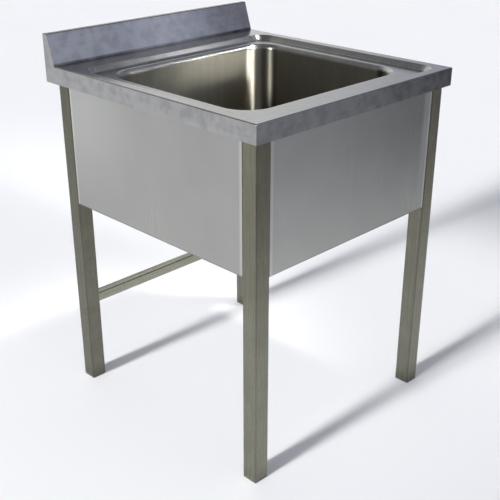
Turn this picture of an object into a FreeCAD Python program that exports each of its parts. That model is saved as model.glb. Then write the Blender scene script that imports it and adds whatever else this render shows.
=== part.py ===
import FreeCAD
import Part
import Sketcher
import math
import os
import re

# A free-standing stainless wash tub with one bowl, in millimetres.
# The origin is on the floor, under the middle of the top. +Z is up, -Y is the front, +Y is the wall side.

doc = FreeCAD.newDocument("WashTub")

# Driving dimensions: name, value, what it measures
SIZES = [
    ("top_width", 650, "top, side to side"),
    ("top_depth", 700, "top, front to wall"),
    ("rim_height", 850, "floor to the top of the rim"),
    ("sheet_gauge", 1.2, "thickness of the top, bowl and aprons"),
    ("bend_radius", 2.4, "outside radius of the folds"),
    ("fascia_drop", 42, "depth of the turned-down edge"),
    ("fascia_return", 13, "fold under the turned-down edge, measured from its face"),
    ("rim_band", 25, "flat rim at the front and sides"),
    ("wall_band", 105, "wall edge to the step of the recess"),
    ("recess_drop", 11, "how far the deck lies below the rim"),
    ("recess_run", 10, "horizontal run of the sloped step"),
    ("recess_corner", 40, "corner radius of the recess"),
    ("step_radius", 4, "radius of the two bends of the sloped step"),
    ("deck_side", 40, "flat deck between the sloped step and the bowl's side walls"),
    ("deck_front", 65, "flat deck between the sloped step and the bowl's front wall"),
    ("deck_back", 35, "flat deck between the sloped step and the bowl's back wall"),
    ("bowl_corner", 60, "corner radius of the bowl in plan"),
    ("bowl_depth", 300, "deck to the floor of the bowl"),
    ("floor_radius", 40, "radius between the bowl's walls and floor"),
    ("lip_radius", 14, "radius of the rolled lip round the bowl"),
    ("splash_rise", 72, "rim to the top of the splashback"),
    ("splash_foot", 38, "thickness of the splashback at the rim"),
    ("splash_crest", 15, "thickness of the splashback at its top"),
    ("leg_side", 40, "outside of the square leg tube"),
    ("leg_wall", 1.5, "wall of the leg tube"),
    ("leg_corner", 3, "outside corner radius of the leg tube"),
    ("leg_inset", 14, "top's edge to the legs, front and sides"),
    ("leg_wall_inset", 28, "top's wall edge to the back legs"),
    ("plate_side", 68, "side of a leg plate"),
    ("plate_gauge", 3, "thickness of a leg plate"),
    ("plate_chamfer", 30, "cut-off inner corner of a leg plate"),
    ("stud_near", 34, "leg's outer face to the nearer stud"),
    ("stud_far", 54, "leg's outer face to the farther stud"),
    ("stud_diameter", 6, "weld stud"),
    ("stud_length", 16, "weld stud below the sheet"),
    ("nut_across", 10, "flats of a stud nut"),
    ("nut_height", 6, "height of a stud nut"),
    ("plug_flange", 4, "part of a leg plug that stands below the tube"),
    ("plug_depth", 22, "part of a leg plug inside the tube"),
    ("plug_wall", 3, "wall of a leg plug"),
    ("plug_gap", 0.1, "leg plug to the inside of its tube"),
    ("apron_bottom", 510, "floor to the lower edge of the aprons"),
    ("apron_return", 25, "width of the folds round an apron"),
    ("screw_inset", 14, "apron's face to its end screws"),
    ("screw_margin", 48, "apron's lower and upper edges to its end screws"),
    ("screw_diameter", 5, "apron screw"),
    ("screw_reach", 12, "apron screw below its head"),
    ("screw_head", 9.5, "diameter of an apron screw's head"),
    ("screw_head_height", 3, "height of an apron screw's head"),
    ("rivet_diameter", 8, "outside of a rivet nut"),
    ("rivet_length", 14, "length of a rivet nut"),
    ("hole_gap", 0.25, "radial room round screws and studs in their holes"),
    ("thread_gap", 0.05, "radial room between a thread and its nut"),
    ("rail_side", 25, "outside of the square rear rails"),
    ("rail_wall", 1.5, "wall of the rear rails"),
    ("rail_corner", 2.5, "outside corner radius of the rear rails"),
    ("rail_height", 218, "floor to the underside of the low rear rail"),
    ("rail_drop", 18, "top of the back legs to the upper rear rail"),
    ("waste_flange", 74, "diameter of the strainer's flange"),
    ("waste_bore", 45, "inside of the strainer's cup"),
    ("waste_cup_depth", 12, "depth of the strainer's cup below its flange"),
    ("waste_gauge", 1.5, "thickness of the strainer"),
    ("waste_gap", 0.5, "room between the strainer's cup and what it passes through"),
    ("grid_hole", 7, "strainer hole"),
    ("grid_circle", 30, "circle of strainer holes"),
    ("grid_count", 8, "number of strainer holes"),
    ("seal_gauge", 2, "thickness of the drain seals"),
    ("seal_width", 9, "width of the drain seals"),
    ("body_wall", 3, "wall of the drain body"),
    ("body_depth", 34, "drain body from its flange to the shoulder"),
    ("tail_diameter", 48, "outside of the drain's tail"),
    ("tail_wall", 4, "wall of the drain's tail"),
    ("tail_length", 32, "length of the drain's tail"),
    ("bridge_width", 9, "bar across the drain body"),
    ("bridge_height", 7, "height of that bar"),
    ("bridge_drop", 4, "strainer to that bar"),
    ("clamp_diameter", 6, "screw that clamps the strainer"),
    ("clamp_head", 11, "diameter of its head"),
    ("clamp_head_height", 3, "height of its head"),
    ("stopper_cap", 56, "diameter of the plug's cap"),
    ("stopper_cap_height", 3.5, "thickness of the plug's cap"),
    ("stopper_taper", 2, "how much narrower the plug is at its lower end"),
    ("stopper_gap", 0.3, "room round the plug in the strainer"),
    ("knob_diameter", 16, "knob on the plug"),
    ("knob_neck", 9, "neck under the knob"),
    ("knob_height", 18, "knob above the cap"),
]

sheet = doc.addObject("Spreadsheet::Sheet", "Sizes")
for row, (alias, value, meaning) in enumerate(SIZES, start=1):
    sheet.set(f"A{row}", meaning)
    sheet.set(f"B{row}", str(value))
    sheet.setAlias(f"B{row}", alias)
doc.recompute()

ALIASES = {alias for alias, value, meaning in SIZES}
X_AXIS = FreeCAD.Vector(1, 0, 0)
Y_AXIS = FreeCAD.Vector(0, 1, 0)
Z_AXIS = FreeCAD.Vector(0, 0, 1)
parts = []


def number(text):
    """Work out an expression on the sizes as a plain number."""
    return float(sheet.evalExpression(text))


def bind(thing, path, text):
    """Tie one property to an expression on the sizes."""
    tied = re.sub(r"[a-z_]+", lambda word: f"Sizes.{word[0]}" if word[0] in ALIASES else word[0], text)
    thing.setExpression(path, tied)


def place(thing, x, y, z, direction=Z_AXIS):
    """Put a shape's own origin at a point given by expressions, with its Z axis along a direction."""
    thing.Placement = FreeCAD.Placement(FreeCAD.Vector(), FreeCAD.Rotation(Z_AXIS, direction))
    bind(thing, "Placement.Base.x", x)
    bind(thing, "Placement.Base.y", y)
    bind(thing, "Placement.Base.z", z)
    return thing


def box(name, low, size):
    """A box from its lowest corner and its three sides."""
    solid = doc.addObject("Part::Box", name)
    bind(solid, "Length", size[0])
    bind(solid, "Width", size[1])
    bind(solid, "Height", size[2])
    return place(solid, *low)


def cylinder(name, diameter, height, point, direction=Z_AXIS):
    """A cylinder from the middle of its first end, along a direction."""
    solid = doc.addObject("Part::Cylinder", name)
    bind(solid, "Radius", f"({diameter}) / 2")
    bind(solid, "Height", height)
    return place(solid, *point, direction)


def cone(name, lower, upper, height, point):
    """An upright cone from its two diameters."""
    solid = doc.addObject("Part::Cone", name)
    bind(solid, "Radius1", f"({lower}) / 2")
    bind(solid, "Radius2", f"({upper}) / 2")
    bind(solid, "Height", height)
    return place(solid, *point)


def join(name, solids):
    """One solid made of several that touch."""
    fused = doc.addObject("Part::MultiFuse", name)
    fused.Shapes = solids
    fused.Refine = True
    return fused


def group(name, solids):
    """Several separate solids kept together."""
    bundle = doc.addObject("Part::Compound", name)
    bundle.Links = solids
    return bundle


def cut(name, base, tools):
    """A solid with others taken away from it."""
    tool = tools[0] if len(tools) == 1 else group(f"{name}_tools", tools)
    result = doc.addObject("Part::Cut", name)
    result.Base = base
    result.Tool = tool
    return result


def tube(name, outer, inner, height, point):
    """An upright round tube."""
    whole = cylinder(f"{name}_outer", outer, height, point)
    bore = cylinder(f"{name}_bore", inner, height, point)
    return cut(name, whole, [bore])


def keep(thing, label):
    """Name a finished piece of the tub."""
    thing.Label = label
    parts.append(thing)
    return thing


def new_body(name):
    return doc.addObject("PartDesign::Body", name)


def new_sketch(body, name, plane, x="0", y="0", z="0"):
    """A sketch on one of its body's origin planes, shifted by expressions."""
    sketch = body.newObject("Sketcher::SketchObject", name)
    support = [item for item in body.Origin.OriginFeatures if item.Role == plane][0]
    sketch.AttachmentSupport = [(support, "")]
    sketch.MapMode = "FlatFace"
    bind(sketch, "AttachmentOffset.Base.x", x)
    bind(sketch, "AttachmentOffset.Base.y", y)
    bind(sketch, "AttachmentOffset.Base.z", z)
    return sketch


def dimension(sketch, kind, name, text, *places):
    """A named dimension of a sketch, tied to an expression."""
    index = sketch.addConstraint(Sketcher.Constraint(kind, *places, number(text)))
    sketch.renameConstraint(index, name)
    bind(sketch, f"Constraints.{name}", text)


def rounded_loop(sketch, name, width, length, corner):
    """Draw a rounded rectangle about the sketch's own origin."""
    half_x = number(width) / 2
    half_y = number(length) / 2
    radius = number(corner)
    in_x = half_x - radius
    in_y = half_y - radius
    first = sketch.GeometryCount
    ends = [
        ((-in_x, -half_y), (in_x, -half_y)),
        ((half_x, -in_y), (half_x, in_y)),
        ((in_x, half_y), (-in_x, half_y)),
        ((-half_x, in_y), (-half_x, -in_y)),
    ]
    for start, end in ends:
        sketch.addGeometry(Part.LineSegment(FreeCAD.Vector(*start, 0), FreeCAD.Vector(*end, 0)))
    centres = [(in_x, -in_y), (in_x, in_y), (-in_x, in_y), (-in_x, -in_y)]
    for turn, centre in enumerate(centres):
        circle = Part.Circle(FreeCAD.Vector(*centre, 0), Z_AXIS, radius)
        begin = math.pi / 2 * (turn - 1)
        sketch.addGeometry(Part.ArcOfCircle(circle, begin, begin + math.pi / 2))
    for turn in range(4):
        line = first + turn
        arc = first + 4 + turn
        following = first + (turn + 1) % 4
        sketch.addConstraint(Sketcher.Constraint("Tangent", line, 2, arc, 1))
        sketch.addConstraint(Sketcher.Constraint("Tangent", arc, 2, following, 1))
        sketch.addConstraint(Sketcher.Constraint("Vertical" if turn % 2 else "Horizontal", line))
    for turn in range(3):
        sketch.addConstraint(Sketcher.Constraint("Equal", first + 4 + turn, first + 5 + turn))
    sketch.addConstraint(Sketcher.Constraint("Symmetric", first + 4, 3, first + 6, 3, -1, 1))
    dimension(sketch, "DistanceX", f"{name}_width", width, first + 3, 1, first + 1, 1)
    dimension(sketch, "DistanceY", f"{name}_length", length, first, 1, first + 2, 1)
    dimension(sketch, "Radius", f"{name}_corner", corner, first + 4)


def outline(sketch, points):
    """Draw a closed outline of straight edges through points given by expressions."""
    places = [FreeCAD.Vector(number(x), number(y), 0) for x, y in points]
    count = len(points)
    for index in range(count):
        sketch.addGeometry(Part.LineSegment(places[index], places[(index + 1) % count]))
    for index in range(count):
        sketch.addConstraint(Sketcher.Constraint("Coincident", index, 2, (index + 1) % count, 1))
    for index, (x, y) in enumerate(points):
        dimension(sketch, "DistanceX", f"x{index}", x, -1, 1, index, 1)
        dimension(sketch, "DistanceY", f"y{index}", y, -1, 1, index, 1)


def rectangle(sketch, width, length):
    """Draw a rectangle with one corner on the sketch's own origin."""
    corners = [(0, 0), (number(width), 0), (number(width), number(length)), (0, number(length))]
    for index in range(4):
        start = FreeCAD.Vector(*corners[index], 0)
        end = FreeCAD.Vector(*corners[(index + 1) % 4], 0)
        sketch.addGeometry(Part.LineSegment(start, end))
    for index in range(4):
        sketch.addConstraint(Sketcher.Constraint("Coincident", index, 2, (index + 1) % 4, 1))
        sketch.addConstraint(Sketcher.Constraint("Vertical" if index % 2 else "Horizontal", index))
    sketch.addConstraint(Sketcher.Constraint("Coincident", 0, 1, -1, 1))
    dimension(sketch, "DistanceX", "width", width, 0, 1, 0, 2)
    dimension(sketch, "DistanceY", "length", length, 1, 1, 1, 2)


def pad(body, name, sketch, length, symmetric=False, reverse=False):
    feature = body.newObject("PartDesign::Pad", name)
    feature.Profile = sketch
    feature.SideType = "Symmetric" if symmetric else "One side"
    feature.Reversed = reverse
    bind(feature, "Length", length)
    doc.recompute()
    return feature


def pocket(body, name, sketch, length, taper=None):
    """Cut downwards from a level sketch, and make sure that something was cut away."""
    before = body.Shape.Volume
    feature = body.newObject("PartDesign::Pocket", name)
    feature.Profile = sketch
    bind(feature, "Length", length)
    if taper:
        bind(feature, "TaperAngle", taper)
    doc.recompute()
    if body.Shape.Volume >= before:
        raise RuntimeError(f"{name} cut nothing")
    return feature


def fillet(body, name, radius, wanted):
    """Round the edges of a body that a test picks."""
    base = body.Tip
    picked = [f"Edge{index}" for index, edge in enumerate(base.Shape.Edges, start=1) if wanted(edge)]
    feature = body.newObject("PartDesign::Fillet", name)
    feature.Base = (base, picked)
    bind(feature, "Radius", radius)
    doc.recompute()
    if "Invalid" in feature.State:
        raise RuntimeError(f"{name} failed on {len(picked)} edges")
    return feature


def at_level(edge, level):
    """Whether an edge lies in the plane at one height."""
    return abs(edge.BoundBox.ZMin - level) < NEAR and abs(edge.BoundBox.ZMax - level) < NEAR


NEAR = 1e-4

# Places that several pieces share
FRONT = "(-top_depth / 2)"
WALL = "(top_depth / 2)"
SPLASH_Y = "(top_depth / 2 - splash_foot)"
UNDER = "(rim_height - fascia_drop)"
DECK = "(rim_height - recess_drop)"
CREST = "(rim_height + splash_rise)"
BOWL_WIDTH = "(top_width - 2 * (rim_band + recess_run + deck_side))"
BOWL_FRONT = "(rim_band + recess_run + deck_front)"
BOWL_LENGTH = f"(top_depth - {BOWL_FRONT} - wall_band - recess_run - deck_back)"
BOWL_Y = f"({BOWL_FRONT} + {BOWL_LENGTH} / 2 - top_depth / 2)"
BOWL_FLOOR = "(rim_height - recess_drop - bowl_depth)"
LEG_X = "(top_width / 2 - leg_inset)"
LEG_INNER_X = "(top_width / 2 - leg_inset - leg_side)"
LEG_FRONT_Y = "(leg_inset - top_depth / 2)"
LEG_WALL_Y = "(top_depth / 2 - leg_wall_inset)"
FRONT_LEG_TOP = f"({DECK} - sheet_gauge - plate_gauge)"
WALL_LEG_TOP = "(rim_height - sheet_gauge - plate_gauge)"

SPLASH_PROFILE = [
    (SPLASH_Y, UNDER),
    (WALL, UNDER),
    (WALL, CREST),
    (f"{WALL} - splash_crest", CREST),
    (SPLASH_Y, "rim_height"),
]

# How the splashback's inner face lies behind its leaning outer face
LEAN = "((splash_foot - splash_crest) / splash_rise)"
LEAN_SHIFT = f"(sheet_gauge * sqrt(1 + {LEAN} * {LEAN}))"
SPLASH_HOLLOW = [
    (SPLASH_Y, f"{UNDER} + sheet_gauge"),
    (f"{WALL} - sheet_gauge", f"{UNDER} + sheet_gauge"),
    (f"{WALL} - sheet_gauge", f"{CREST} - sheet_gauge"),
    (f"{SPLASH_Y} + (splash_rise - sheet_gauge) * {LEAN} + {LEAN_SHIFT}", f"{CREST} - sheet_gauge"),
    (f"{SPLASH_Y} - sheet_gauge * {LEAN} + {LEAN_SHIFT}", "rim_height - sheet_gauge"),
    (SPLASH_Y, "rim_height - sheet_gauge"),
]


# Top sheet: everything under its upper face, less everything under its lower face
def below_the_sheet(name, skin, splash, splash_length):
    """The solid under the sheet's upper face (skin 0) or under its lower face (skin of one gauge)."""
    body = new_body(name)
    low_x = f"{skin} - top_width / 2"
    low_y = f"{skin} + {FRONT}"
    plan = new_sketch(body, f"{name}_plan", "XY_Plane", low_x, low_y, f"{UNDER} + {skin}")
    rectangle(plan, f"top_width - 2 * {skin}", f"{SPLASH_Y} - ({low_y})")
    pad(body, f"{name}_block", plan, f"fascia_drop - 2 * {skin}")
    top = number(f"rim_height - {skin}")
    side = number(f"top_width / 2 - {skin}")
    front = number(low_y)

    def on_outer_fold(edge):
        middle = edge.BoundBox.Center
        at_side = abs(abs(middle.x) - side) < NEAR
        at_front = abs(middle.y - front) < NEAR
        return at_level(edge, top) and (at_side or at_front) or (at_side and at_front)

    fillet(body, f"{name}_fold", f"bend_radius - {skin}", on_outer_fold)
    section = new_sketch(body, f"{name}_splash", "YZ_Plane")
    outline(section, splash)
    pad(body, f"{name}_upstand", section, splash_length, symmetric=True)
    return body


def press_the_deck(body, skin):
    """Sink the deck and the bowl's opening into a block, and round the folds."""
    name = body.Name
    spread = f"({skin} * tan(atan(recess_drop / recess_run) / 2))"
    recess = new_sketch(body, f"{name}_recess", "XY_Plane", "0", "(rim_band - wall_band) / 2",
                        f"rim_height - {skin}")
    rounded_loop(recess, "recess", f"top_width - 2 * rim_band + 2 * {spread}",
                 f"top_depth - rim_band - wall_band + 2 * {spread}", f"recess_corner + {spread}")
    pocket(body, f"{name}_step", recess, "recess_drop", "-atan(recess_run / recess_drop)")
    top = number(f"rim_height - {skin}")
    deck = number(f"{DECK} - {skin}")
    recess_x = number(f"top_width / 2 - rim_band + {spread}") + NEAR
    recess_low = number(f"{FRONT} + rim_band - {spread}") - NEAR
    recess_high = number(f"{WALL} - wall_band + {spread}") + NEAR

    def on_upper_bend(edge):
        extent = edge.BoundBox
        inside_x = extent.XMin > -recess_x and extent.XMax < recess_x
        inside_y = extent.YMin > recess_low and extent.YMax < recess_high
        return at_level(edge, top) and inside_x and inside_y

    fillet(body, f"{name}_upper_bend", f"step_radius - {skin}", on_upper_bend)
    fillet(body, f"{name}_lower_bend", f"step_radius + {skin}", lambda edge: at_level(edge, deck))
    mouth = new_sketch(body, f"{name}_mouth", "XY_Plane", "0", BOWL_Y, f"{DECK} - {skin}")
    rounded_loop(mouth, "mouth", f"{BOWL_WIDTH} + 2 * {skin}", f"{BOWL_LENGTH} + 2 * {skin}",
                 f"bowl_corner + {skin}")
    pocket(body, f"{name}_opening", mouth, "fascia_drop")
    crest = number(f"{CREST} - {skin}")
    reach_x = number(f"{BOWL_WIDTH} / 2 + {skin}") + NEAR
    reach_y = number(f"{BOWL_LENGTH} / 2 + {skin}") + NEAR

    def on_lip(edge):
        middle = edge.BoundBox.Center
        inside = abs(middle.x) < reach_x and abs(middle.y - number(BOWL_Y)) < reach_y
        return at_level(edge, deck) and inside

    def on_crest(edge):
        return at_level(edge, crest) and edge.BoundBox.YLength < NEAR

    fillet(body, f"{name}_lip", f"lip_radius - {skin}", on_lip)
    fillet(body, f"{name}_crest", f"bend_radius - {skin}", on_crest)


upper = below_the_sheet("sheet_upper", "0", SPLASH_PROFILE, "top_width - 2 * sheet_gauge")
press_the_deck(upper, "0")
lower = below_the_sheet("sheet_lower", "sheet_gauge", SPLASH_HOLLOW, "top_width")
throat = new_sketch(lower, "sheet_throat", "XY_Plane", "fascia_return - top_width / 2",
                    f"{FRONT} + fascia_return", UNDER)
rectangle(throat, "top_width - 2 * fascia_return", "top_depth - 2 * fascia_return")
pad(lower, "sheet_lower_throat", throat, "sheet_gauge")
press_the_deck(lower, "sheet_gauge")
keep(cut("sheet_top", upper, [lower]), "top_sheet")


# Plates that close the ends of the splashback
for side, start in (("left", "-top_width / 2"), ("right", "top_width / 2 - sheet_gauge")):
    body = new_body(f"end_{side}")
    section = new_sketch(body, f"end_{side}_outline", "YZ_Plane", z=start)
    outline(section, SPLASH_PROFILE)
    pad(body, f"end_{side}_plate", section, "sheet_gauge")
    crest_level = number(CREST)
    fillet(body, f"end_{side}_crest", "bend_radius",
           lambda edge: at_level(edge, crest_level) and edge.BoundBox.YLength < NEAR)
    keep(body, f"splash_end_{side}")


# Bowl, welded to the lip's lower edge
CUP_HOLE = "(waste_bore + 2 * waste_gauge + 2 * waste_gap)"


def bowl_block(name, skin):
    """The solid inside the bowl's inner face (skin 0) or inside its outer face (skin of one gauge)."""
    body = new_body(name)
    plan = new_sketch(body, f"{name}_plan", "XY_Plane", "0", BOWL_Y, UNDER)
    rounded_loop(plan, "plan", f"{BOWL_WIDTH} + 2 * {skin}", f"{BOWL_LENGTH} + 2 * {skin}",
                 f"bowl_corner + {skin}")
    pad(body, f"{name}_depth", plan, f"{UNDER} - {BOWL_FLOOR} + {skin}", reverse=True)
    floor = number(f"{BOWL_FLOOR} - {skin}")
    fillet(body, f"{name}_round", f"floor_radius + {skin}", lambda edge: at_level(edge, floor))
    return body


drain_hole = cylinder("bowl_drain", CUP_HOLE, "sheet_gauge", ("0", BOWL_Y, f"{BOWL_FLOOR} - sheet_gauge"))
bowl_shell = cut("bowl_shell", bowl_block("bowl_outside", "sheet_gauge"), [
    bowl_block("bowl_inside", "0"),
    drain_hole,
])
keep(bowl_shell, "bowl")


# Legs, each with its plug and its plate, and the studs and nuts that hold the top on them
CORNERS = []
for depth_name, depth_sign in (("front", -1), ("back", 1)):
    for side_name, side_sign in (("left", -1), ("right", 1)):
        CORNERS.append((f"{depth_name}_{side_name}", side_sign, depth_sign))

leg_tubes = {}
leg_holes = {corner: [] for corner, side_sign, depth_sign in CORNERS}
studs = []
nuts = []


def leg_plug(corner, x, y):
    """A moulded plug: a flange on the floor and a hollow stem inside the tube."""
    body = new_body(f"plug_{corner}")
    stem = "(leg_side - 2 * leg_wall - 2 * plug_gap)"
    foot = new_sketch(body, f"plug_{corner}_foot", "XY_Plane", x, y, "0")
    rounded_loop(foot, "foot", "leg_side", "leg_side", "leg_corner")
    pad(body, f"plug_{corner}_flange", foot, "plug_flange")
    shank = new_sketch(body, f"plug_{corner}_shank", "XY_Plane", x, y, "plug_flange")
    rounded_loop(shank, "shank", stem, stem, "leg_corner - leg_wall")
    rounded_loop(shank, "core", f"{stem} - 2 * plug_wall", f"{stem} - 2 * plug_wall", "leg_corner - leg_wall")
    pad(body, f"plug_{corner}_stem", shank, "plug_depth")
    keep(body, f"leg_plug_{corner}")


def leg_tube(corner, x, y, top):
    """The square tube of a leg, before its holes."""
    body = new_body(f"tube_{corner}")
    section = new_sketch(body, f"tube_{corner}_section", "XY_Plane", x, y, "plug_flange")
    rounded_loop(section, "outer", "leg_side", "leg_side", "leg_corner")
    rounded_loop(section, "inner", "leg_side - 2 * leg_wall", "leg_side - 2 * leg_wall", "leg_corner - leg_wall")
    pad(body, f"tube_{corner}_length", section, f"{top} - plug_flange")
    leg_tubes[corner] = body


def leg_plate(corner, outer_x, outer_y, side_sign, depth_sign, top):
    """The plate on a leg's top, its inner corner cut off, with its two studs and nuts."""
    inner_x = f"({outer_x} - {side_sign} * plate_side)"
    inner_y = f"({outer_y} - {depth_sign} * plate_side)"
    low_x = outer_x if side_sign < 0 else inner_x
    low_y = outer_y if depth_sign < 0 else inner_y
    blank = box(f"plate_{corner}_blank", (low_x, low_y, top), ("plate_side", "plate_side", "plate_gauge"))
    diagonal = "plate_chamfer * sqrt(2)"
    nib = box(f"plate_{corner}_nib", (inner_x, f"{inner_y} - plate_chamfer", top),
              (diagonal, diagonal, "plate_gauge"))
    nib.Placement.Rotation = FreeCAD.Rotation(Z_AXIS, 45)
    tools = [nib]
    for index, (from_side, from_end) in enumerate((("stud_far", "stud_near"), ("stud_near", "stud_far"))):
        name = f"{corner}_{index}"
        x = f"{outer_x} - {side_sign} * {from_side}"
        y = f"{outer_y} - {depth_sign} * {from_end}"
        tools.append(cylinder(f"stud_hole_{name}", "stud_diameter + 2 * hole_gap", "plate_gauge", (x, y, top)))
        stud_top = f"{top} + plate_gauge"
        studs.append(cylinder(f"stud_{name}", "stud_diameter", "stud_length", (x, y, stud_top), -Z_AXIS))
        hexagon = doc.addObject("Part::Prism", f"nut_{name}_hexagon")
        hexagon.Polygon = 6
        bind(hexagon, "Circumradius", "nut_across / sqrt(3)")
        bind(hexagon, "Height", "nut_height")
        place(hexagon, x, y, f"{top} - nut_height")
        bore = cylinder(f"nut_{name}_bore", "stud_diameter + 2 * thread_gap", "nut_height",
                        (x, y, f"{top} - nut_height"))
        nuts.append(cut(f"nut_{name}", hexagon, [bore]))
    keep(cut(f"plate_{corner}", blank, tools), f"leg_plate_{corner}")


for corner, side_sign, depth_sign in CORNERS:
    outer_x = f"({side_sign} * {LEG_X})"
    outer_y = LEG_FRONT_Y if depth_sign < 0 else LEG_WALL_Y
    top = FRONT_LEG_TOP if depth_sign < 0 else WALL_LEG_TOP
    middle_x = f"{outer_x} - {side_sign} * leg_side / 2"
    middle_y = f"{outer_y} - {depth_sign} * leg_side / 2"
    leg_plug(corner, middle_x, middle_y)
    leg_tube(corner, middle_x, middle_y, top)
    leg_plate(corner, outer_x, outer_y, side_sign, depth_sign, top)

keep(group("studs", studs), "deck_studs")
keep(group("nuts", nuts), "stud_nuts")


# Aprons: trays with their edges folded inwards, screwed through their ends to the legs
screws = []
rivets = []
SIDE_LENGTH = "(top_depth - leg_inset - leg_wall_inset - 2 * leg_side)"
APRON_HEIGHT = f"({FRONT_LEG_TOP} - apron_bottom)"
SCREW_LEVELS = ("apron_bottom + screw_margin", f"{FRONT_LEG_TOP} - screw_margin")


def along(point, direction, distance):
    """A point moved along a direction by an expression."""
    return tuple(f"{start} + {step:g} * ({distance})" for start, step in zip(point, direction))


def end_screws(name, corner, x, y, direction):
    """The screws at one end of an apron: their holes in the fold and the leg, and their rivet nuts."""
    fold_holes = []
    for index, level in enumerate(SCREW_LEVELS):
        tag = f"{name}_{corner}_{index}"
        face = (x, y, level)
        seat = along(face, direction, "-sheet_gauge")
        leg_holes[corner].append(cylinder(f"leg_hole_{tag}", "rivet_diameter", "2 * leg_wall", face, direction))
        fold_holes.append(cylinder(f"fold_hole_{tag}", "screw_diameter + 2 * hole_gap", "sheet_gauge",
                                   seat, direction))
        sleeve = cylinder(f"rivet_{tag}_sleeve", "rivet_diameter", "rivet_length", face, direction)
        bore = cylinder(f"rivet_{tag}_bore", "screw_diameter + 2 * thread_gap", "rivet_length", face, direction)
        rivets.append(cut(f"rivet_{tag}", sleeve, [bore]))
        shank = cylinder(f"screw_{tag}_shank", "screw_diameter", "screw_reach", seat, direction)
        head = cylinder(f"screw_{tag}_head", "screw_head", "screw_head_height", seat, -direction)
        screws.append(join(f"screw_{tag}", [shank, head]))
    return fold_holes


def apron(name, low, size, hollow_low, hollow_size, faces_out, fold_holes):
    """A tray open to the inside, its four outer folds rounded."""
    blank = box(f"{name}_blank", low, size)
    doc.recompute()
    reach = number(faces_out[1])

    def on_fold(edge):
        places = [vertex.Point[faces_out[0]] for vertex in edge.Vertexes]
        return all(abs(place - reach) < NEAR for place in places)

    radius = number("bend_radius")
    folded = doc.addObject("Part::Fillet", f"{name}_folded")
    folded.Base = blank
    picked = [index for index, edge in enumerate(blank.Shape.Edges, start=1) if on_fold(edge)]
    folded.Edges = [(index, radius, radius) for index in picked]
    hollow = box(f"{name}_hollow", hollow_low, hollow_size)
    keep(cut(f"{name}_tray", folded, [hollow] + fold_holes), name)


front_screw_y = f"{LEG_FRONT_Y} + screw_inset"
front_holes = end_screws("front", "front_left", f"-{LEG_INNER_X}", front_screw_y, -X_AXIS)
front_holes += end_screws("front", "front_right", LEG_INNER_X, front_screw_y, X_AXIS)
apron(
    "apron_front",
    (f"-{LEG_INNER_X}", LEG_FRONT_Y, "apron_bottom"),
    (f"2 * {LEG_INNER_X}", "apron_return", APRON_HEIGHT),
    (f"sheet_gauge - {LEG_INNER_X}", f"{LEG_FRONT_Y} + sheet_gauge", "apron_bottom + sheet_gauge"),
    (f"2 * ({LEG_INNER_X} - sheet_gauge)", "apron_return", f"{APRON_HEIGHT} - 2 * sheet_gauge"),
    (1, LEG_FRONT_Y),
    front_holes,
)

for side_name, side_sign in (("left", -1), ("right", 1)):
    face_x = f"({side_sign} * {LEG_X})"
    screw_x = f"{face_x} - {side_sign} * screw_inset"
    near_y = f"({LEG_FRONT_Y} + leg_side)"
    far_y = f"({LEG_WALL_Y} - leg_side)"
    holes = end_screws(side_name, f"front_{side_name}", screw_x, near_y, -Y_AXIS)
    holes += end_screws(side_name, f"back_{side_name}", screw_x, far_y, Y_AXIS)
    low_x = face_x if side_sign < 0 else f"{face_x} - apron_return"
    apron(
        f"apron_{side_name}",
        (low_x, near_y, "apron_bottom"),
        ("apron_return", SIDE_LENGTH, APRON_HEIGHT),
        (f"{low_x} - {side_sign} * sheet_gauge", f"{near_y} + sheet_gauge", "apron_bottom + sheet_gauge"),
        ("apron_return", f"{SIDE_LENGTH} - 2 * sheet_gauge", f"{APRON_HEIGHT} - 2 * sheet_gauge"),
        (0, face_x),
        holes,
    )

keep(group("screws", screws), "apron_screws")
keep(group("rivets", rivets), "rivet_nuts")

for corner, side_sign, depth_sign in CORNERS:
    keep(cut(f"leg_{corner}_drilled", leg_tubes[corner], leg_holes[corner]), f"leg_{corner}")


# Rear rails, welded between the back legs
def rear_rail(name, height):
    body = new_body(f"{name}_body")
    section = new_sketch(body, f"{name}_section", "YZ_Plane", f"{LEG_WALL_Y} - leg_side / 2", height)
    rounded_loop(section, "outer", "rail_side", "rail_side", "rail_corner")
    rounded_loop(section, "inner", "rail_side - 2 * rail_wall", "rail_side - 2 * rail_wall",
                 "rail_corner - rail_wall")
    pad(body, f"{name}_length", section, f"2 * {LEG_INNER_X}", symmetric=True)
    keep(body, name)


rear_rail("rear_foot_rail", "rail_height + rail_side / 2")
rear_rail("rear_top_rail", f"{WALL_LEG_TOP} - rail_drop - rail_side / 2")


# Drain fitting, clamped through the floor of the bowl
STRAINER_TOP = f"({BOWL_FLOOR} + seal_gauge + waste_gauge)"
CUP_FLOOR = f"({STRAINER_TOP} - waste_cup_depth)"
SEAL_OUTER = f"({CUP_HOLE} + 2 * seal_width)"
BODY_TOP = f"({BOWL_FLOOR} - sheet_gauge - seal_gauge)"
BODY_SHOULDER = f"({BODY_TOP} - body_depth)"
BRIDGE_TOP = f"({CUP_FLOOR} - waste_gauge - bridge_drop)"


def on_axis(level):
    """A point on the drain's axis."""
    return ("0", BOWL_Y, level)


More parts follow.
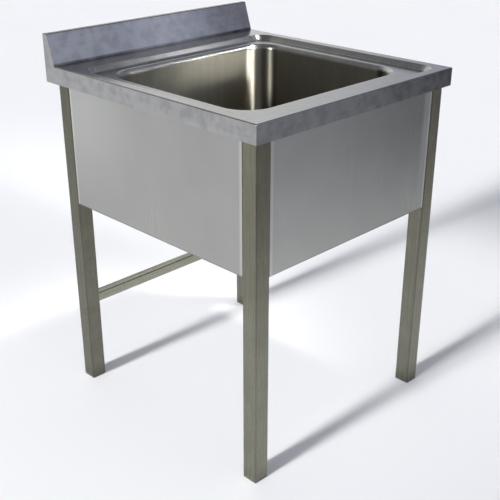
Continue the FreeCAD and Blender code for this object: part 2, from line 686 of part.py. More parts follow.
flange = cylinder("strainer_flange", "waste_flange", "waste_gauge", on_axis(f"{STRAINER_TOP} - waste_gauge"))
cup = cylinder("strainer_cup", "waste_bore + 2 * waste_gauge", "waste_cup_depth + waste_gauge",
               on_axis(f"{CUP_FLOOR} - waste_gauge"))
strainer_tools = [
    cylinder("strainer_bore", "waste_bore", "waste_cup_depth", on_axis(CUP_FLOOR)),
    cylinder("strainer_screw_hole", "clamp_diameter + 2 * hole_gap", "waste_gauge",
             on_axis(f"{CUP_FLOOR} - waste_gauge")),
]
hole_count = round(number("grid_count"))
for index in range(hole_count):
    angle = 2 * math.pi * index / hole_count
    x = f"grid_circle / 2 * {math.cos(angle):.6f}"
    y = f"{BOWL_Y} + grid_circle / 2 * {math.sin(angle):.6f}"
    strainer_tools.append(cylinder(f"strainer_hole_{index}", "grid_hole", "waste_gauge",
                                   (x, y, f"{CUP_FLOOR} - waste_gauge")))
keep(cut("strainer", join("strainer_blank", [flange, cup]), strainer_tools), "waste_strainer")

keep(tube("seal_upper", SEAL_OUTER, CUP_HOLE, "seal_gauge", on_axis(BOWL_FLOOR)), "waste_upper_seal")
keep(tube("seal_lower", SEAL_OUTER, CUP_HOLE, "seal_gauge", on_axis(BODY_TOP)), "waste_lower_seal")

body_blank = join("drain_blank", [
    cylinder("drain_flange", SEAL_OUTER, "body_wall", on_axis(f"{BODY_TOP} - body_wall")),
    cylinder("drain_barrel", f"{CUP_HOLE} + 2 * body_wall", "body_depth", on_axis(BODY_SHOULDER)),
    cylinder("drain_tail", "tail_diameter", "tail_length + body_wall",
             on_axis(f"{BODY_SHOULDER} - tail_length")),
])
body_hollow = cut("drain_hollow", body_blank, [
    cylinder("drain_barrel_bore", CUP_HOLE, "body_depth - body_wall", on_axis(f"{BODY_SHOULDER} + body_wall")),
    cylinder("drain_tail_bore", "tail_diameter - 2 * tail_wall", "tail_length + body_wall",
             on_axis(f"{BODY_SHOULDER} - tail_length")),
])
bridge = box("drain_bridge",
             (f"-({CUP_HOLE} + body_wall) / 2", f"{BOWL_Y} - bridge_width / 2", f"{BRIDGE_TOP} - bridge_height"),
             (f"{CUP_HOLE} + body_wall", "bridge_width", "bridge_height"))
bridge_bore = cylinder("drain_bridge_bore", "clamp_diameter + 2 * thread_gap", "bridge_height",
                       on_axis(f"{BRIDGE_TOP} - bridge_height"))
keep(cut("drain_body", join("drain_bridged", [body_hollow, bridge]), [bridge_bore]), "waste_body")

clamp_shank = cylinder("clamp_shank", "clamp_diameter", "waste_gauge + bridge_drop + bridge_height",
                       on_axis(f"{BRIDGE_TOP} - bridge_height"))
clamp_cap = cylinder("clamp_cap", "clamp_head", "clamp_head_height", on_axis(CUP_FLOOR))
keep(join("clamp", [clamp_shank, clamp_cap]), "waste_screw")


# Rubber plug, standing on the strainer's flange with its taper in the cup
STOPPER_REACH = "(waste_cup_depth - clamp_head_height - stopper_gap)"
STOPPER_WIDE = "(waste_bore - 2 * stopper_gap)"
CAP_TOP = f"({STRAINER_TOP} + stopper_cap_height)"
stem = cone("stopper_stem", f"{STOPPER_WIDE} - stopper_taper", STOPPER_WIDE, STOPPER_REACH,
            on_axis(f"{STRAINER_TOP} - {STOPPER_REACH}"))
cap = cylinder("stopper_cap_disc", "stopper_cap", "stopper_cap_height", on_axis(STRAINER_TOP))
neck = cylinder("stopper_neck", "knob_neck", "knob_height - knob_diameter / 2", on_axis(CAP_TOP))
knob = doc.addObject("Part::Sphere", "stopper_knob")
bind(knob, "Radius", "knob_diameter / 2")
place(knob, *on_axis(f"{CAP_TOP} + knob_height - knob_diameter / 2"))
keep(join("stopper", [stem, cap, neck, knob]), "drain_plug")


# Check everything, then write each piece to its own file
doc.recompute()
for thing in doc.Objects:
    if "Invalid" in thing.State or "Error" in thing.State:
        raise RuntimeError(f"{thing.Name} failed: {thing.State}")
os.makedirs("parts", exist_ok=True)
for piece in parts:
    if piece.Shape.isNull() or not piece.Shape.isValid():
        raise RuntimeError(f"{piece.Label} has no valid shape")
for piece in parts:
    piece.Shape.exportStep(f"parts/{piece.Label}.step")
    print(f"{piece.Label}: {len(piece.Shape.Solids)} solid(s), {piece.Shape.Volume / 1000:.1f} cm3")
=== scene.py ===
# %% [markdown]
# # Dressing a stainless wash tub
# The tub arrives as a finished set of sheet-metal parts, already in place and in metres.
# This lesson leaves their shapes alone. It gives each one the finish that it has on the real tub, adds the
# weld beads that hold the frame together, and lights the whole thing for one picture.

# %% Load the parts
import math

import bpy
from mathutils import Matrix, Vector


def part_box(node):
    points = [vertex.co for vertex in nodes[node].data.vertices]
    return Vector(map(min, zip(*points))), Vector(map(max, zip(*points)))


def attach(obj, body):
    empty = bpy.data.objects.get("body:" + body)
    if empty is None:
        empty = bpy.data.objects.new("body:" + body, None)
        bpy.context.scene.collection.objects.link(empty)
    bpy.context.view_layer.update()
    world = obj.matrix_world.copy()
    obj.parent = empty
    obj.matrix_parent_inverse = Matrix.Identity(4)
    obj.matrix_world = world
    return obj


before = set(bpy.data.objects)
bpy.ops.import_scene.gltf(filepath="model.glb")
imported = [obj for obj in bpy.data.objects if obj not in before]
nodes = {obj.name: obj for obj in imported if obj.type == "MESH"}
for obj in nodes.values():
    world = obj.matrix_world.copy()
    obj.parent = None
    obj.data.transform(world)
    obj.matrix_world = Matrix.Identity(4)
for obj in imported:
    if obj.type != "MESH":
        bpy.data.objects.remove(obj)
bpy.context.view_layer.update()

# %% [markdown]
# ## The camera
# The photograph looks at the tub's front left corner from above the rim.
# A camera can be placed by eye, but here its place was found from the corners of the top and the feet,
# and only the few numbers that describe it are written down. The image is square, 500 by 500.

# %% Place the camera
IMAGE_PIXELS = 500
FOCAL_PIXELS = 880.0
CAMERA_PLACE = (-1.4491, -1.4534, 1.3203)
AZIMUTH = -45.08
ELEVATION = 24.74

camera_data = bpy.data.cameras.new("photo_camera")
camera_data.lens = camera_data.sensor_width * FOCAL_PIXELS / IMAGE_PIXELS
camera = bpy.data.objects.new("photo_camera", camera_data)
camera.location = CAMERA_PLACE
camera.rotation_euler = (math.radians(90 - ELEVATION), 0, math.radians(AZIMUTH))
bpy.context.scene.collection.objects.link(camera)
bpy.context.scene.camera = camera
bpy.context.scene.view_settings.view_transform = "Standard"
print("lens", round(camera_data.lens, 1), "mm")

# %% [markdown]
# ## Writing shader maths as sums
# A finish is a small network of nodes. Placing dozens of Math nodes by hand is slow to read, so one class
# wraps a node's output: adding or multiplying two of them adds the Math node that does it.
# Every other node comes from one method that takes its type, its settings and its sockets.


# %% The class that wraps a socket
class Wire:
    """One output of a node, to write sums with."""

    def __init__(self, tree, socket=None):
        self.tree = tree
        self.socket = socket

    def add(self, kind, settings, sockets, out=0):
        """Add a node, set it up, feed its sockets, and hand back one of its outputs."""
        node = self.tree.nodes.new(kind)
        for name, value in settings.items():
            setattr(node, name, value)
        for name, value in sockets.items():
            if isinstance(value, Wire):
                self.tree.links.new(value.socket, node.inputs[name])
            else:
                node.inputs[name].default_value = value
        return Wire(self.tree, node.outputs[out])

    def maths(self, operation, *values):
        """Add a Math node that works on the given values."""
        return self.add("ShaderNodeMath", {"operation": operation}, dict(enumerate(values)))

    def __add__(self, other):
        return self.maths("ADD", self, other)

    def __radd__(self, other):
        return self.maths("ADD", other, self)

    def __sub__(self, other):
        return self.maths("SUBTRACT", self, other)

    def __rsub__(self, other):
        return self.maths("SUBTRACT", other, self)

    def __mul__(self, other):
        return self.maths("MULTIPLY", self, other)

    def __rmul__(self, other):
        return self.maths("MULTIPLY", other, self)

    def __abs__(self):
        return self.maths("ABSOLUTE", self)


print("shader sums ready")

# %% [markdown]
# ## Patterns that all the steel shares
# Brushed steel is two patterns on top of each other: very long thin scratches left by the belt, and soft
# cloudy patches where the sheet was handled and wiped. Pictures of steel could be laid on, but they repeat and
# have seams, so both are Noise textures. The scratches are the same noise read through a Mapping node that
# stretches it along the way the belt ran.

# %% Clouds and scratches
SEED_STEP = (1.0, 0.7, 1.3)


def start_finish(name, metallic=1.0):
    """A new material, its shader node, and the place of each point on the piece."""
    material = bpy.data.materials.new(name)
    material.use_nodes = True
    tree = material.node_tree
    shader = tree.nodes["Principled BSDF"]
    shader.inputs["Metallic"].default_value = metallic
    place = Wire(tree).add("ShaderNodeTexCoord", {}, {}, "Object")
    return material, shader, place


def cloud(place, scale, detail, seed=0.0):
    """Soft patches between 0 and 1, scale of them to a metre. Another seed gives other patches."""
    shift = tuple(seed * step for step in SEED_STEP)
    moved = place.add("ShaderNodeVectorMath", {"operation": "ADD"}, {0: place, 1: shift})
    return place.add("ShaderNodeTexNoise", {}, {"Vector": moved, "Scale": scale, "Detail": detail})


def scratches(place, stretch, detail=2.0):
    """Long scratches between 0 and 1: a small stretch along an axis makes them long that way."""
    long_way = place.add("ShaderNodeMapping", {}, {"Vector": place, "Scale": stretch})
    return place.add("ShaderNodeTexNoise", {}, {"Vector": long_way, "Scale": 1.0, "Detail": detail})


print("cloud and scratch patterns ready")

# %% [markdown]
# ## Masks and tones
# A mask is a number between 0 and 1 that says where something is, such as the foot of a leg. It could be
# painted, but the tub's measures are known, so it is worked out from a point's own coordinates: one of them,
# eased from 0 to 1 between two places, is a mask with a soft edge. A tone then adds up patterns and masks, and
# makes a piece's colour lighter or darker.

# %% Masks, tones and dressing
BUMP_STRENGTH = 0.4


def axis(place, letter):
    """One coordinate of a point."""
    return place.add("ShaderNodeSeparateXYZ", {}, {"Vector": place}, letter)


def ease(value, low, high):
    """Rises smoothly from 0 to 1 while value goes from low to high."""
    return value.add("ShaderNodeMapRange", {"interpolation_type": "SMOOTHSTEP"},
                     {"Value": value, "From Min": low, "From Max": high})


def shade(colour, tone):
    """A colour made lighter or darker by a tone that changes over the surface."""
    return tone.add("ShaderNodeVectorMath", {"operation": "SCALE"}, {0: colour, "Scale": tone})


def bumped(height, depth):
    """The normals of a surface whose pattern is cut to a depth in metres."""
    return height.add("ShaderNodeBump", {}, {"Height": height, "Strength": BUMP_STRENGTH, "Distance": depth})


def show(material, surface):
    """Make a shader the one that the material shows."""
    tree = material.node_tree
    tree.links.new(surface.socket, tree.nodes["Material Output"].inputs["Surface"])


def dress(material, *names):
    """Give a material to parts by name."""
    for name in names:
        for part_slot in nodes[name].material_slots:
            part_slot.material = material
    print(material.name, "on", ", ".join(names))


print("masks and tones ready")

# %% [markdown]
# ## The bowl
# A drawn bowl is polished with a wheel that runs round and round inside it. Its fine level grooves spread
# every reflection up and down, which is why a bright stripe stands in each corner of a polished bowl.
# The grooves are finer than a pixel, so bump alone can't show them. The shader's own anisotropy stretches
# the gloss instead, and a quarter turn makes the stretch run up the wall. The tight corners are rougher, and
# painted shade darkens their colour and the colour of the right wall.

# %% Polished steel for the bowl
BOWL_TINT = (0.40, 0.375, 0.30)
BOWL_MIDDLE_Y = -0.025
GROOVES = (5.0, 5.0, 800.0)
GROOVE_DEPTH = 0.0001
STREAKS = (60.0, 60.0, 2.0)
QUARTER_TURN = 0.25
RIGHT_WALL = (0.238, 0.254)
CORNER_BESIDE = (0.226, 0.240)
CORNER_BEHIND = (0.158, 0.174)


def polished(place):
    """A shader for steel polished round and round the bowl, with painted shade in its corners and on its right
    wall.
    """
    beside = axis(place, "X")
    behind = axis(place, "Y") - BOWL_MIDDLE_Y
    streaks = scratches(place, STREAKS, 3.0)
    bloom = cloud(place, 9.0, 4.0, 1.7)
    # painted shade: the right wall's colour is darkened
    right_wall_shade = ease(beside, *RIGHT_WALL)
    # the tight corners are rougher, and painted shade darkens their colour
    corner_shade_and_roughness = ease(abs(beside), *CORNER_BESIDE) * ease(abs(behind), *CORNER_BEHIND)
    tone = (0.70 + 0.26 * streaks + 0.20 * bloom) * (1 - 0.45 * right_wall_shade) * (1 - 0.74 * corner_shade_and_roughness)
    rough = 0.35 + 0.06 * bloom + 0.04 * streaks + 0.15 * corner_shade_and_roughness
    return place.add("ShaderNodeBsdfPrincipled", {}, {
        "Base Color": shade(BOWL_TINT, tone), "Roughness": rough, "Metallic": 1.0,
        "Normal": bumped(scratches(place, GROOVES), GROOVE_DEPTH),
        "Anisotropic": 1.0, "Anisotropic Rotation": QUARTER_TURN})


def bowl_finish():
    """The bowl's material: its own polished shader takes the place of the plain one."""
    material, plain_shader, place = start_finish("bowl_polished_steel")
    material.node_tree.nodes.remove(plain_shader)
    show(material, polished(place))
    return material


dress(bowl_finish(), "bowl")

# %% [markdown]
# ## The top and its splashback
# The top is one satin sheet, brushed along its length, with a hazy bloom left by polishing wheels.
# On the turned-down sides the brush marks run the other way, so two sets of scratches are made and the
# surface's own normal chooses between them. Light and shade are painted into the sheet's colour: painted shade
# darkens the fascia and the splashback to the right, a painted highlight makes the middle of the splashback
# paler, painted shade darkens the crease at its foot, and a painted dark reflection darkens its top edge.
# It could be painted into an image, but masks along the sheet stay easy to move.

# %% Brush marks, painted shade and a painted highlight
BRUSH_FINE = 260.0
BRUSH_LONG = 5.0
CREASE_Y = 0.312
CREASE_Z = 0.851
CREST = (0.9195, 0.9210)
FASCIA = (-0.348, -0.340)
SPLASHBACK = (0.29, 0.31)


def sheet_brush(place, facing):
    """Brush marks along the sheet, and across it on the faces that look left or right."""
    along = scratches(place, (BRUSH_LONG, BRUSH_FINE, BRUSH_FINE))
    across = scratches(place, (BRUSH_FINE, BRUSH_LONG, BRUSH_FINE))
    sideways = ease(abs(axis(facing, "X")), 0.6, 0.8)
    return along + sideways * (across - along)


def painted_crease_shade_and_dark_edge(place):
    """How much darker the crease at the foot of the splashback (painted shade) and its top edge (painted dark
    reflection) are.
    """
    level = axis(place, "Z")
    # painted shade: the crease at the foot of the splashback is darkened
    near_foot = 1 - ease(abs(axis(place, "Y") - CREASE_Y), 0.0008, 0.005)
    near_deck = 1 - ease(abs(level - CREASE_Z), 0.002, 0.006)
    # painted dark reflection: the top edge of the splashback is darkened
    return 0.55 * near_foot * near_deck + 0.72 * ease(level, *CREST)


def painted_sheet_shade_and_highlight(place):
    """Painted shade and a painted highlight on the upright faces: darker to the right and on the fascia, paler in
    the middle of the splashback.
    """
    along = axis(place, "X")
    depth = axis(place, "Y")
    # painted shade: the fascia and the upright faces are darkened towards the right
    fascia = (1 - ease(depth, *FASCIA)) * (0.02 + 0.40 * ease(along, -0.36, 0.33))
    # painted highlight: the middle of the splashback is made paler
    painted_pale_middle = ease(along, -0.16, 0.04) * (1 - ease(along, 0.06, 0.27)) * ease(depth, *SPLASHBACK)
    return 0.18 * ease(along, -0.05, 0.32) + fascia - 0.42 * painted_pale_middle


print("brush marks ready, crease at", CREASE_Y, CREASE_Z)

# %% [markdown]
# ## The lip between top and bowl
# The lip that turns down into the bowl belongs to the top sheet, but it was polished together with the bowl.
# The sheet could be cut in two for it. A Mix Shader is simpler: a mask picks out the lip, and there it takes
# the bowl's finish.

# %% Satin sheet with a polished lip
TOP_TINT = (0.38, 0.38, 0.373)
TOP_BRUSH_DEPTH = 0.00015
LIP_BESIDE = (0.262, 0.266)
LIP_BEHIND = (0.238, 0.242)
LIP_LEVEL = (0.826, 0.836)


def finish(shader, colour, roughness, height=None, depth=0.0):
    """Feed colour, roughness and surface height into the shader."""
    links = colour.tree.links
    links.new(colour.socket, shader.inputs["Base Color"])
    links.new(roughness.socket, shader.inputs["Roughness"])
    if height is not None:
        links.new(bumped(height, depth).socket, shader.inputs["Normal"])


def lip_mask(place):
    """1 on the lip that turns down into the bowl, 0 on the rest of the sheet."""
    beside = 1 - ease(abs(axis(place, "X")), *LIP_BESIDE)
    behind = 1 - ease(abs(axis(place, "Y") - BOWL_MIDDLE_Y), *LIP_BEHIND)
    return beside * behind * (1 - ease(axis(place, "Z"), *LIP_LEVEL))


def top_finish():
    """Satin sheet, with the bowl's polish on the lip."""
    material, shader, place = start_finish("top_satin_sheet")
    facing = place.add("ShaderNodeNewGeometry", {}, {}, "Normal")
    upright = 1 - ease(abs(axis(facing, "Z")), 0.4, 0.7)
    brush = sheet_brush(place, facing)
    bloom = cloud(place, 14.0, 4.0)
    smudges = ease(cloud(place, 38.0, 5.0, 3.1), 0.40, 0.66)
    # the smudges are handling marks; the rest is painted shade and a painted highlight
    smudges_and_painted_shade = (0.07 + 0.10 * upright) * smudges + upright * painted_sheet_shade_and_highlight(place)
    tone = 0.82 + 0.18 * brush + 0.24 * bloom - smudges_and_painted_shade - painted_crease_shade_and_dark_edge(place)
    rough = 0.10 + 0.08 * brush + 0.12 * bloom
    finish(shader, shade(TOP_TINT, tone), rough, brush, TOP_BRUSH_DEPTH)
    sheet = Wire(material.node_tree, shader.outputs[0])
    show(material, place.add("ShaderNodeMixShader", {}, {0: lip_mask(place), 1: sheet, 2: polished(place)}))
    return material


dress(top_finish(), "top_sheet", "splash_end_left", "splash_end_right")

# %% [markdown]
# ## The apron panels
# The aprons are the calmest sheets on the tub: a fine satin with hardly any scratch to be seen, only slow
# changes of tone. Painted shade darkens the front one to the right, and a painted sheen lightens it high up at
# that end. The folded ends beside the legs carry a painted highlight, painted light makes the side aprons paler
# high up towards the back, and the fold along the bottom is darker. All three aprons share one material, so a
# mask for the front one chooses between two sets of tones.

# %% Fine satin for the aprons
APRON_TINT = (0.358, 0.360, 0.338)
APRON_BRUSH = (230.0, 230.0, 4.0)
APRON_BRUSH_DEPTH = 0.0001
APRON_FOLD = (0.511, 0.5145)
APRON_HEIGHT = (0.52, 0.76)
ON_FRONT = (-0.312, -0.300)
FRONT_END = (0.2615, 0.2655)
# where the painted sheen sits on the front apron
FRONT_PAINTED_SHEEN = (0.234, 0.252)
SIDE_MIDDLE_Y = -0.007
SIDE_END = (0.2795, 0.2835)
# strength of the painted highlight on the folded ends
PAINTED_END_HIGHLIGHT = 0.34


def apron_painted_light(place):
    """How much painted light and shade make a place on an apron lighter or darker than plain satin."""
    along = axis(place, "X")
    depth = axis(place, "Y")
    high = ease(axis(place, "Z"), *APRON_HEIGHT)
    # painted highlights on the front's folded ends, and a painted sheen high up at its right end
    front_painted_highlights = PAINTED_END_HIGHLIGHT * ease(abs(along), *FRONT_END) + 0.36 * high * ease(along, *FRONT_PAINTED_SHEEN)
    # painted shade: the front apron darkens to the right
    front = 0.35 - ease(along, -0.32, 0.32) * (0.50 + 0.25 * high) + front_painted_highlights
    # painted highlight on the side aprons' folded ends
    side_painted_highlight = PAINTED_END_HIGHLIGHT * ease(abs(depth - SIDE_MIDDLE_Y), *SIDE_END)
    # painted light: the side aprons are paler high up towards the back
    side = 0.05 + 0.26 * high * ease(depth, -0.02, 0.22) + side_painted_highlight
    return side + (1 - ease(depth, *ON_FRONT)) * (front - side)


def apron_finish():
    """Fine satin with slow changes of tone, painted light and shade, and a darker lower fold."""
    material, shader, place = start_finish("apron_fine_satin")
    brush = scratches(place, APRON_BRUSH)
    slow = cloud(place, 3.2, 2.0, 5.3)
    bloom = cloud(place, 16.0, 3.0, 2.2)
    # darker towards the lower fold
    lower_fold_darkening = 1 - ease(axis(place, "Z"), *APRON_FOLD)
    tone = 0.78 + 0.10 * brush + 0.22 * slow + 0.12 * bloom - 0.5 * lower_fold_darkening + apron_painted_light(place)
    rough = 0.18 + 0.07 * brush + 0.08 * slow
    finish(shader, shade(APRON_TINT, tone), rough, brush, APRON_BRUSH_DEPTH)
    return material


dress(apron_finish(), "apron_front", "apron_left", "apron_right")

# %% [markdown]
# ## The legs and rails
# The square tube is cheaper steel than the sheet. It comes from the mill with a greenish grey haze, browner
# towards the top, is ground along its length, and darkens along its corners, where the grinder skips, and near
# the floor. A Mapping node moves the pattern's origin to each tube's own axis, so a corner is easy to find:
# there the smaller of the two sideways distances is as large as it gets. Grinding spreads the gloss across the
# tube, so the shader has some anisotropy. Each length of tube is also made a little lighter or darker than the
# next, as painted light and shade.

# %% Ground tube
TUBE_CLEAN = (0.190, 0.189, 0.150, 1)
TUBE_HAZED = (0.178, 0.172, 0.126, 1)
TUBE_GRIND_DEPTH = 0.0002
TUBE_CORNER = 0.72
TUBE_FOOT = (0.004, 0.045)
TUBE_HAZE = (0.25, 0.75)
GLOSS_SPREAD = 0.9
FINE_GRAIN = 190.0
LONG_GRAIN = 7.0


def blend_colours(mask, first, second):
    """The first colour where the mask is 0, the second where it is 1."""
    return mask.add("ShaderNodeMix", {"data_type": "RGBA"}, {0: mask, 6: first, 7: second}, 2)


def tube_finish(name, middle, half, stretch, painted_light_lift):
    """Ground square tube whose axis passes through a point, made lighter or darker by a lift of painted light and
    shade.
    """
    material, shader, place = start_finish(name)
    local = place.add("ShaderNodeMapping", {}, {"Vector": place, "Location": tuple(-part for part in middle)})
    brush = scratches(place, stretch, 4.0)
    bloom = cloud(place, 22.0, 4.0, 7.7)
    sides = [abs(axis(local, letter)) for letter, grain in zip("XYZ", stretch) if grain == FINE_GRAIN]
    corner = ease(place.maths("MINIMUM", *sides), half * TUBE_CORNER, half)
    level = axis(place, "Z")
    foot = 1 - ease(level, *TUBE_FOOT)
    haze = ease(level, *TUBE_HAZE)
    tone = 0.67 + 0.46 * brush + 0.34 * bloom - 0.20 * corner - 0.22 * foot - 0.10 * haze
    rough = 0.16 + 0.14 * brush + 0.08 * bloom
    # the lift paints light and shade into the tube's colour
    colour = shade(blend_colours(haze, TUBE_CLEAN, TUBE_HAZED), painted_light_lift * tone)
    shader.inputs["Anisotropic"].default_value = GLOSS_SPREAD
    finish(shader, colour, rough, brush, TUBE_GRIND_DEPTH)
    return material


print("ground tube ready")

# %% [markdown]
# ## One finish for each tube
# The legs and rails could share one material, but then the corners would be worn on the wrong lines. Each
# gets its own copy of the recipe, centred on its own box and made lighter or darker by painted light and shade.

# %% Dress the legs and rails
CORNERS = ("front_left", "front_right", "back_left", "back_right")
REAR_RAILS = ("rear_foot_rail", "rear_top_rail")
TUBE_HALF = 0.020
UPRIGHT_GRAIN = (FINE_GRAIN, FINE_GRAIN, LONG_GRAIN)
LEVEL_GRAIN = (LONG_GRAIN, FINE_GRAIN, FINE_GRAIN)
# painted light and shade: lighter and darker copies of the tube finish
PAINTED_LIGHT_LIFT = {"leg_front_left": 1.14, "leg_back_left": 0.84, "rear_foot_rail": 1.55}
for corner_name in CORNERS:
    leg = f"leg_{corner_name}"
    low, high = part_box(leg)
    painted_light_lift = PAINTED_LIGHT_LIFT.get(leg, 1.0)
    dress(tube_finish(f"ground_tube_{corner_name}", (low + high) / 2, TUBE_HALF, UPRIGHT_GRAIN, painted_light_lift), leg)
for rail_name in REAR_RAILS:
    low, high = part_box(rail_name)
    half_rail = (high.z - low.z) / 2
    painted_light_lift = PAINTED_LIGHT_LIFT.get(rail_name, 1.0)
    dress(tube_finish(f"ground_tube_{rail_name}", (low + high) / 2, half_rail, LEVEL_GRAIN, painted_light_lift), rail_name)

# %% [markdown]
# ## Weld beads on the rear rails
# Each rear rail is welded to the legs all the way round. A bead is a rope of small ripples lying in the
# corner between the two tubes. It could be sculpted, but a square outline turned into a curve with a round
# section gives the rope at once, and a smaller radius at every third point gives the ripples.

# %% Lay the beads
BEAD_RADIUS = 0.0019
BEAD_CUTS = 17
BEAD_ROUNDNESS = 2
RIPPLE = 0.78
RIPPLE_EVERY = 3


def bead_round_rail(name, middle, side):
    """A weld bead round the end of a square rail that runs along X."""
    bpy.ops.object.select_all(action="DESELECT")
    bpy.ops.mesh.primitive_plane_add(size=side, rotation=(0, math.radians(90), 0))
    bead = bpy.context.object
    bead.name = name
    bpy.ops.object.mode_set(mode="EDIT")
    bpy.ops.mesh.select_all(action="SELECT")
    bpy.ops.mesh.delete(type="ONLY_FACE")
    bpy.ops.mesh.select_all(action="SELECT")
    bpy.ops.mesh.subdivide(number_cuts=BEAD_CUTS)
    bpy.ops.object.mode_set(mode="OBJECT")
    bpy.ops.object.convert(target="CURVE")
    bead.data.bevel_depth = BEAD_RADIUS
    bead.data.bevel_resolution = BEAD_ROUNDNESS
    for index, point in enumerate(bead.data.splines[0].points):
        point.radius = RIPPLE if index % RIPPLE_EVERY == 0 else 1.0
    bpy.ops.object.convert(target="MESH")
    bead.location = middle
    bpy.ops.object.transform_apply(location=True, rotation=True, scale=True)
    bpy.ops.object.shade_smooth()
    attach(bead, "tub")
    return bead


beads = []
for rail_name in REAR_RAILS:
    low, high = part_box(rail_name)
    for side_name, end in (("left", low.x), ("right", high.x)):
        middle = (end, (low.y + high.y) / 2, (low.z + high.z) / 2)
        beads.append(bead_round_rail(f"weld_{rail_name}_{side_name}", middle, high.z - low.z))
print(len(beads), "beads of", len(beads[0].data.polygons), "faces")

# %% [markdown]
# ## Small steel: plates, fasteners, beads and the strainer
# The leg plates are cut from plain mill plate, the fasteners are bright from the box, and the weld beads keep a
# warm tint from the heat. The strainer is the one mirror-bright piece on the tub. Each could have a recipe of
# its own, but they are small and mostly hidden, so they share one with different tints and roughness.

# %% Mill plate, fasteners, strainer and beads
SPECK_DEPTH = 0.00008


def small_steel(name, tint, rough, haze):
    """Plain steel with a cloudy haze of the given strength."""
    material, shader, place = start_finish(name)
    patches = cloud(place, 60.0, 4.0, 4.4)
    specks = cloud(place, 420.0, 2.0, 9.1)
    tone = 1 - haze + haze * 1.4 * patches + 0.12 * specks
    finish(shader, shade(tint, tone), rough + 0.15 * patches, specks, SPECK_DEPTH)
    return material


dress(small_steel("mill_plate", (0.42, 0.42, 0.40), 0.34, 0.3), *(f"leg_plate_{corner}" for corner in CORNERS))
dress(small_steel("bright_fasteners", (0.52, 0.52, 0.50), 0.22, 0.2),
      "deck_studs", "stud_nuts", "apron_screws", "rivet_nuts", "waste_screw")
dress(small_steel("polished_strainer", (0.66, 0.66, 0.64), 0.08, 0.1), "waste_strainer")

bead_steel = small_steel("weld_bead", (0.40, 0.385, 0.345), 0.30, 0.5)
for bead in beads:
    bead.data.materials.append(bead_steel)
print("weld_bead on", len(beads), "beads")

# %% [markdown]
# ## Plastic and rubber
# The leg plugs and the drain body are moulded: a fine grain from the tool, slightly worn. The seals and the
# lift-out plug are black rubber, which is never pure black, because a pale bloom comes to its surface.
# A flat colour would look like paint, so one recipe blends a clean and a worn colour in soft patches.

# %% Moulded plastic and rubber
PORE_DEPTH = 0.00012


def moulded(name, tint, worn, rough, grain):
    """A moulded finish that goes from one colour to a worn one in soft patches."""
    material, shader, place = start_finish(name, 0.0)
    patches = ease(cloud(place, 38.0, 4.0, 6.2), 0.42, 0.75)
    pores = cloud(place, grain, 2.0, 2.9)
    roughness = rough + 0.14 * patches + 0.06 * pores
    finish(shader, blend_colours(patches, tint, worn), roughness, pores, PORE_DEPTH)
    return material


dress(moulded("plug_grey_plastic", (0.060, 0.060, 0.057, 1), (0.105, 0.105, 0.100, 1), 0.45, 1300.0),
      *(f"leg_plug_{corner}" for corner in CORNERS))
dress(moulded("waste_white_plastic", (0.74, 0.74, 0.70, 1), (0.66, 0.65, 0.60, 1), 0.38, 1100.0), "waste_body")
dress(moulded("stopper_rubber", (0.022, 0.022, 0.021, 1), (0.060, 0.060, 0.057, 1), 0.55, 900.0),
      "waste_upper_seal", "waste_lower_seal", "drain_plug")

# %% [markdown]
# ## The floor
# The photograph has a plain white ground. A plane would do, but its corners can show at the horizon, so a very
# large pale disc is the floor. It fills the view and still takes the tub's shadow.

# %% Floor
FLOOR_RADIUS = 24.0
FLOOR_SIDES = 96
FLOOR_TINT = (0.94, 0.94, 0.94)


def floor_finish():
    """A matt pale floor with hardly visible patches."""
    material, shader, place = start_finish("pale_floor", 0.0)
    patches = cloud(place, 1.5, 2.0, 8.8)
    shader.inputs["Specular IOR Level"].default_value = 0.0
    finish(shader, shade(FLOOR_TINT, 0.985 + 0.03 * patches), 0.85 + 0.05 * patches)
    return material


bpy.ops.object.select_all(action="DESELECT")
bpy.ops.mesh.primitive_circle_add(vertices=FLOOR_SIDES, radius=FLOOR_RADIUS, fill_type="NGON")
floor = bpy.context.object
floor.name = "floor"
floor.data.materials.append(floor_finish())
print("floor", FLOOR_RADIUS, "m in radius")

# %% [markdown]
# ## Studio panels
# Steel shows what is around it, so the lamps are what gives it its tones. Sun lamps would leave hard specks.
# Studio panels with a grid are used instead: a wide low one on the left keeps the splashback's side of
# the room bright, and a box in front and a box overhead put soft light on the aprons and the rim.

# %% Panels round the tub


def softbox(name, place, target, size, power, spread, edge=None):
    """A panel with a grid that keeps its beam narrow, at a place and facing a target."""
    lamp = bpy.data.lights.new(name, "AREA")
    lamp.shape = "RECTANGLE"
    lamp.size, lamp.size_y = size
    lamp.energy = power
    lamp.spread = math.radians(spread)
    panel = bpy.data.objects.new(name, lamp)
    panel.location = place
    away = (Vector(place) - Vector(target)).normalized()
    first = Vector(edge) if edge else Vector((0, 0, 1)).cross(away)
    first = (first - first.dot(away) * away).normalized()
    panel.rotation_euler = Matrix((first, away.cross(first), away)).transposed().to_euler()
    panel.visible_camera = False
    bpy.context.scene.collection.objects.link(panel)
    print(name, size, "m,", power, "W")


softbox("wide_panel", (-7.99, 4.08, 2.9), (2.11, 3.73, 0.0), (10.0, 4.4), 300.0, 11.0)
softbox("box_front", (0.1, -2.95, 2.4), (0.15, 0.2, 0.75), (1.4, 0.6), 1.2, 12.0)
softbox("box_high", (0.96, -0.62, 3.58), (0.15, 0.15, 0.75), (0.4, 0.4), 0.8, 16.0)

# %% [markdown]
# ## Narrow beams for the bowl and the step
# Light that comes down past the lip reaches only the upper part of the bowl's back wall, and fades below it.
# One large lamp would flood the whole bowl, so two small panels with almost parallel light do it, each only
# as large as the patch it lights. A third puts the streak on the sloped step under the splashback. A beam that
# spreads over so small an angle needs only a few thousandths of a watt.

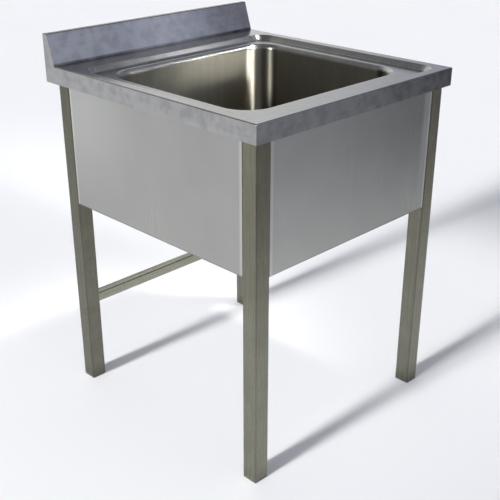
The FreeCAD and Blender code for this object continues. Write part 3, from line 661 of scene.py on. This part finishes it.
# %% Beams on the back wall and the step
ALONG_TUB = (1, 0, 0)
BEAM_SPREAD = 2.4
WALL_RISE = 0.53
WALL_DISTANCE = 1.3
WALL_BEAMS = (
    ("wall_beam_deep", (0.135, 0.171, 0.835), (0.27, 0.050), 0.68, 0.0050),
    ("wall_beam_wide", (0.090, 0.182, 0.835), (0.36, 0.036), 0.62, 0.0015),
)
STEP_SPOT = Vector((0.03, 0.280, 0.845))
STEP_LEAN = Vector((0.64, -0.27, 0.72))
STEP_DISTANCE = 2.0
STEP_SPREAD = 10.0

for name, place, (wide, tall), side, power in WALL_BEAMS:
    spot = Vector(place)
    lean = Vector((side, -math.sqrt(1 - side ** 2 - WALL_RISE ** 2), WALL_RISE))
    size = (wide * math.sqrt(1 - side ** 2), tall)
    softbox(name, spot + WALL_DISTANCE * lean, spot, size, power, BEAM_SPREAD, ALONG_TUB)
softbox("step_box", STEP_SPOT + STEP_DISTANCE * STEP_LEAN, STEP_SPOT, (0.30, 0.40), 0.0030, STEP_SPREAD, ALONG_TUB)

# %% [markdown]
# ## Beams for the bowl's far corner
# A bright stripe stands in the bowl's far corner. The corner is a curved mirror, so one lamp gives only a thin
# line in it. A row of beams from neighbouring directions widens the line to a stripe, and two steeper ones
# carry it further down.

# %% Beams into the far corner
CORNER_SPOT = (0.225, 0.195)
CORNER_DISTANCE = 1.5
CORNER_WIDTH = 0.05
CORNER_BEAMS = (
    (50, 40, 0.785, 0.08, 0.015), (60, 40, 0.785, 0.08, 0.011),
    (70, 40, 0.785, 0.08, 0.006), (80, 40, 0.785, 0.08, 0.004),
    (54, 56, 0.700, 0.07, 0.008), (66, 56, 0.700, 0.07, 0.007),
)

for degrees, rise, level, tall, power in CORNER_BEAMS:
    turn, climb = math.radians(-degrees), math.radians(rise)
    spot = Vector((*CORNER_SPOT, level))
    lean = Vector((math.cos(turn) * math.cos(climb), math.sin(turn) * math.cos(climb), math.sin(climb)))
    away = spot + CORNER_DISTANCE * lean
    softbox(f"corner_beam_{degrees}", away, spot, (CORNER_WIDTH, tall), power, BEAM_SPREAD)

# %% [markdown]
# ## The sky
# Where no lamp is, the steel mirrors the air of the room: pale towards the wall, warm and dim on the left,
# bluish in front, dimmer on the right and overhead. A picture of a room could stand in for it, but a few
# colours blended by direction are easier to tune.

# %% Sky
HIGH_AIR = (0.16, 0.16, 0.16, 1)
FRONT_AIR = (0.60, 0.63, 0.80, 1)
RIGHT_AIR = (0.30, 0.32, 0.42, 1)
FRONT_HORIZON = (0.36, 0.37, 0.40, 1)
WALL_AIR = (0.98, 0.98, 0.98, 1)
LEFT_AIR = (0.28, 0.26, 0.21, 1)

world = bpy.data.worlds.new("studio_air")
bpy.context.scene.world = world
world.use_nodes = True
sky = Wire(world.node_tree)
direction = sky.add("ShaderNodeTexCoord", {}, {}, "Generated")
height = axis(direction, "Z")
sideways = axis(direction, "X")
towards_wall = ease(axis(direction, "Y"), 0.42, 0.72)
off_left = ease(sideways, -0.55, 0.1)
far_right = ease(sideways, 0.56, 0.76)
off_horizon = ease(height, 0.02, 0.20)
overhead = ease(height, 0.45, 0.90)
front_air = blend_colours(far_right, FRONT_AIR, RIGHT_AIR)
front_side = blend_colours(off_horizon, FRONT_HORIZON, front_air)
wall_side = blend_colours(off_left, LEFT_AIR, WALL_AIR)
around = blend_colours(towards_wall, front_side, wall_side)
air = blend_colours(overhead, around, HIGH_AIR)
world.node_tree.links.new(air.socket, world.node_tree.nodes["Background"].inputs["Color"])
print("sky set, six colours blended by direction")

# %% [markdown]
# ## Finish

# %% Finish
print("scene finished")
